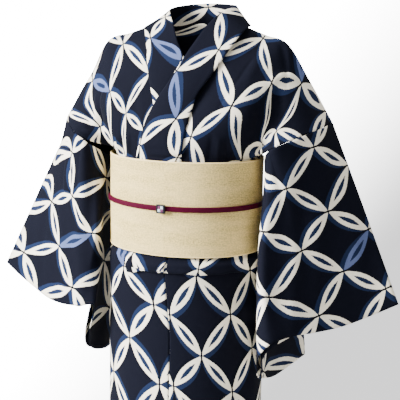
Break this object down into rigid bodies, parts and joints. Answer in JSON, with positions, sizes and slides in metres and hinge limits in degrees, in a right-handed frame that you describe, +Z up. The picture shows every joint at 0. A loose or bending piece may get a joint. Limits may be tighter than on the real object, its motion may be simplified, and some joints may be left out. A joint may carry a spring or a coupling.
{
  "type": "cotton yukata robe with an obi",
  "caption": "Hollow cotton yukata in its worn form with wide rectangular sleeves, crossed collar and tucked waist, closed by a linen obi, flat cord and small clasp.",
  "frame": {"origin": "middle of the neck's base on the shoulder line, where the wearer's shoulders carry the robe", "axes": "+Z up along the wearer, -Y the front, +X the wearer's left"},
  "size_m": [0.763, 0.2767, 1.2862],
  "materials": {
    "indigo_cotton": "matte plain weave, printed petals",
    "natural_linen": "matte slub weave",
    "plum_silk": "braided silk, soft sheen",
    "dark_metal": "dark frame, satin"
  },
  "bodies": {
    "root": {"body_left": "indigo_cotton", "body_right": "indigo_cotton", "okumi_left": "indigo_cotton", "okumi_right": "indigo_cotton", "sleeve_left": "indigo_cotton", "sleeve_right": "indigo_cotton", "collar": "indigo_cotton", "obi_band": "natural_linen", "obi_back_fold": "natural_linen", "obijime": "plum_silk", "obidome": "dark_metal"}
  },
  "joints": []
}
